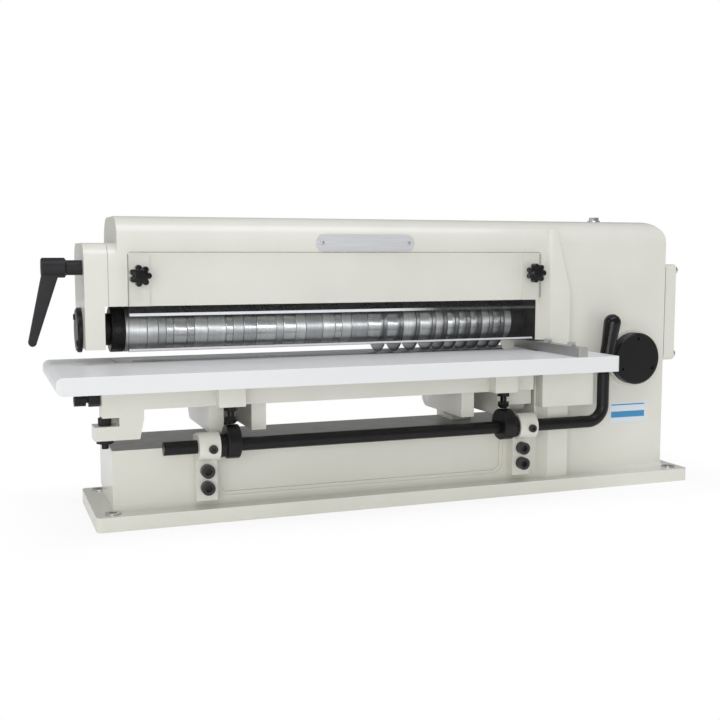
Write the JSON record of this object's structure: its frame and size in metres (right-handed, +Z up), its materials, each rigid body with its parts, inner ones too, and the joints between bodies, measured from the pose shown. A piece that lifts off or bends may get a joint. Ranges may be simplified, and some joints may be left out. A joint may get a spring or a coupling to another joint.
{
  "type": "leather strap cutter",
  "caption": "Bench machine that slits hide into straps between a row of round knives and a feed roller, with a lever-lifted table and a clear guard.",
  "frame": {"origin": "middle of the base plate's underside, at the centre of the four hold-down holes", "axes": "+X along the cutter shaft towards the column, +Y away from the operator, +Z up"},
  "size_m": [0.8668, 0.268, 0.363],
  "materials": {
    "cream_paint": "gloss enamel over a slightly uneven casting",
    "table_finish": "smooth gloss light grey",
    "black_steel": "black oxide, satin",
    "black_cast_handle": "fine black powder coat",
    "black_plastic": "moulded, glossy",
    "bright_steel": "turned and ground",
    "ring_steel": "zinc plated, worn",
    "knife_steel": "ground edge, oiled",
    "fence_steel": "milled flat bar",
    "roller_steel": "fine turned, pale",
    "bronze": "turned bearing bronze",
    "clear_guard": "clear acrylic"
  },
  "bodies": {
    "frame": {"frame_casting": "cream_paint", "end_block": "cream_paint", "left_bush": "bronze", "bearing_cap": "black_steel", "cap_screws": "black_steel", "right_bush": "bronze", "clamp_screw": "bright_steel", "front_cover": "black_steel", "front_cover_screws": "black_steel", "side_cover": "cream_paint", "side_cover_spacers": "bright_steel", "side_cover_screws": "bright_steel", "oil_plug": "bright_steel", "hold_down_washers": "bright_steel", "drive_bushes": "bronze", "pivot_pedestals": "cream_paint", "pedestal_screws": "black_steel", "pivot_pins": "bright_steel", "left_bracket": "cream_paint", "right_bracket": "cream_paint", "bracket_screws": "black_steel", "guard_studs": "bright_steel"},
    "clamp": {"clamp_lever": "black_cast_handle"},
    "drive": {"drive_shaft": "bright_steel"},
    "cutter": {"cutter_shaft": "bright_steel", "shaft_nut": "black_steel", "set_collar": "black_steel", "collar_screw": "black_steel", "spacer_rings": "ring_steel", "knives": "knife_steel", "end_collar": "black_steel", "upper_gear": "bright_steel"},
    "roller": {"feed_roller": "roller_steel", "lower_gear": "bright_steel"},
    "carriage": {"carriage_casting": "cream_paint", "roller_bushes": "bronze", "table": "table_finish", "table_screws": "bright_steel", "fence_bar": "fence_steel", "fence_screws": "bright_steel", "adjusting_screw": "black_steel", "adjusting_nut": "black_steel", "foot_screw": "black_steel", "foot_nut": "black_steel", "lift_studs": "black_steel", "stud_nuts": "black_steel"},
    "lift": {"lift_shaft": "black_steel", "eccentrics": "black_steel", "lever_grip": "black_plastic"},
    "guard": {"guard_plate": "clear_guard"},
    "left_star_knob": {"left_knob": "black_plastic"},
    "right_star_knob": {"right_knob": "black_plastic"}
  },
  "joints": [
    {"name": "cutter_spin", "type": "hinge", "parent": "frame", "child": "cutter", "pos_m": [0, -0.0025, 0.224], "axis": [1, 0, 0], "continuous": true},
    {"name": "roller_spin", "type": "hinge", "parent": "carriage", "child": "roller", "pos_m": [0, -0.0025, 0.162], "axis": [1, 0, 0], "continuous": true},
    {"name": "drive_spin", "type": "hinge", "parent": "frame", "child": "drive", "pos_m": [0.322, 0, 0.171], "axis": [0, 1, 0], "continuous": true},
    {"name": "lift_lever_turn", "type": "hinge", "parent": "frame", "child": "lift", "pos_m": [0, -0.0745, 0.09], "axis": [1, 0, 0], "range_deg": [0, 45]},
    {"name": "carriage_swing", "type": "hinge", "parent": "frame", "child": "carriage", "pos_m": [0, 0.0575, 0.114], "axis": [1, 0, 0], "range_deg": [0, 0.5]},
    {"name": "guard_slide", "type": "slide", "parent": "frame", "child": "guard", "axis": [0, 0, 1], "range_m": [-0.012, 0]},
    {"name": "left_knob_turn", "type": "hinge", "parent": "frame", "child": "left_star_knob", "pos_m": [-0.344, -0.06, 0.288], "axis": [0, 1, 0], "continuous": true},
    {"name": "right_knob_turn", "type": "hinge", "parent": "frame", "child": "right_star_knob", "pos_m": [0.164, -0.06, 0.288], "axis": [0, 1, 0], "continuous": true},
    {"name": "clamp_lever_turn", "type": "hinge", "parent": "frame", "child": "clamp", "pos_m": [-0.405, -0.0315, 0.297], "axis": [1, 0, 0], "range_deg": [-90, 90]}
  ],
  "couplings": [
    {"joint": "roller_spin", "follows": "cutter_spin", "ratio": -1},
    {"joint": "drive_spin", "follows": "cutter_spin", "ratio": 10},
    {"joint": "carriage_swing", "follows": "lift_lever_turn", "ratio": 0.011111}
  ]
}
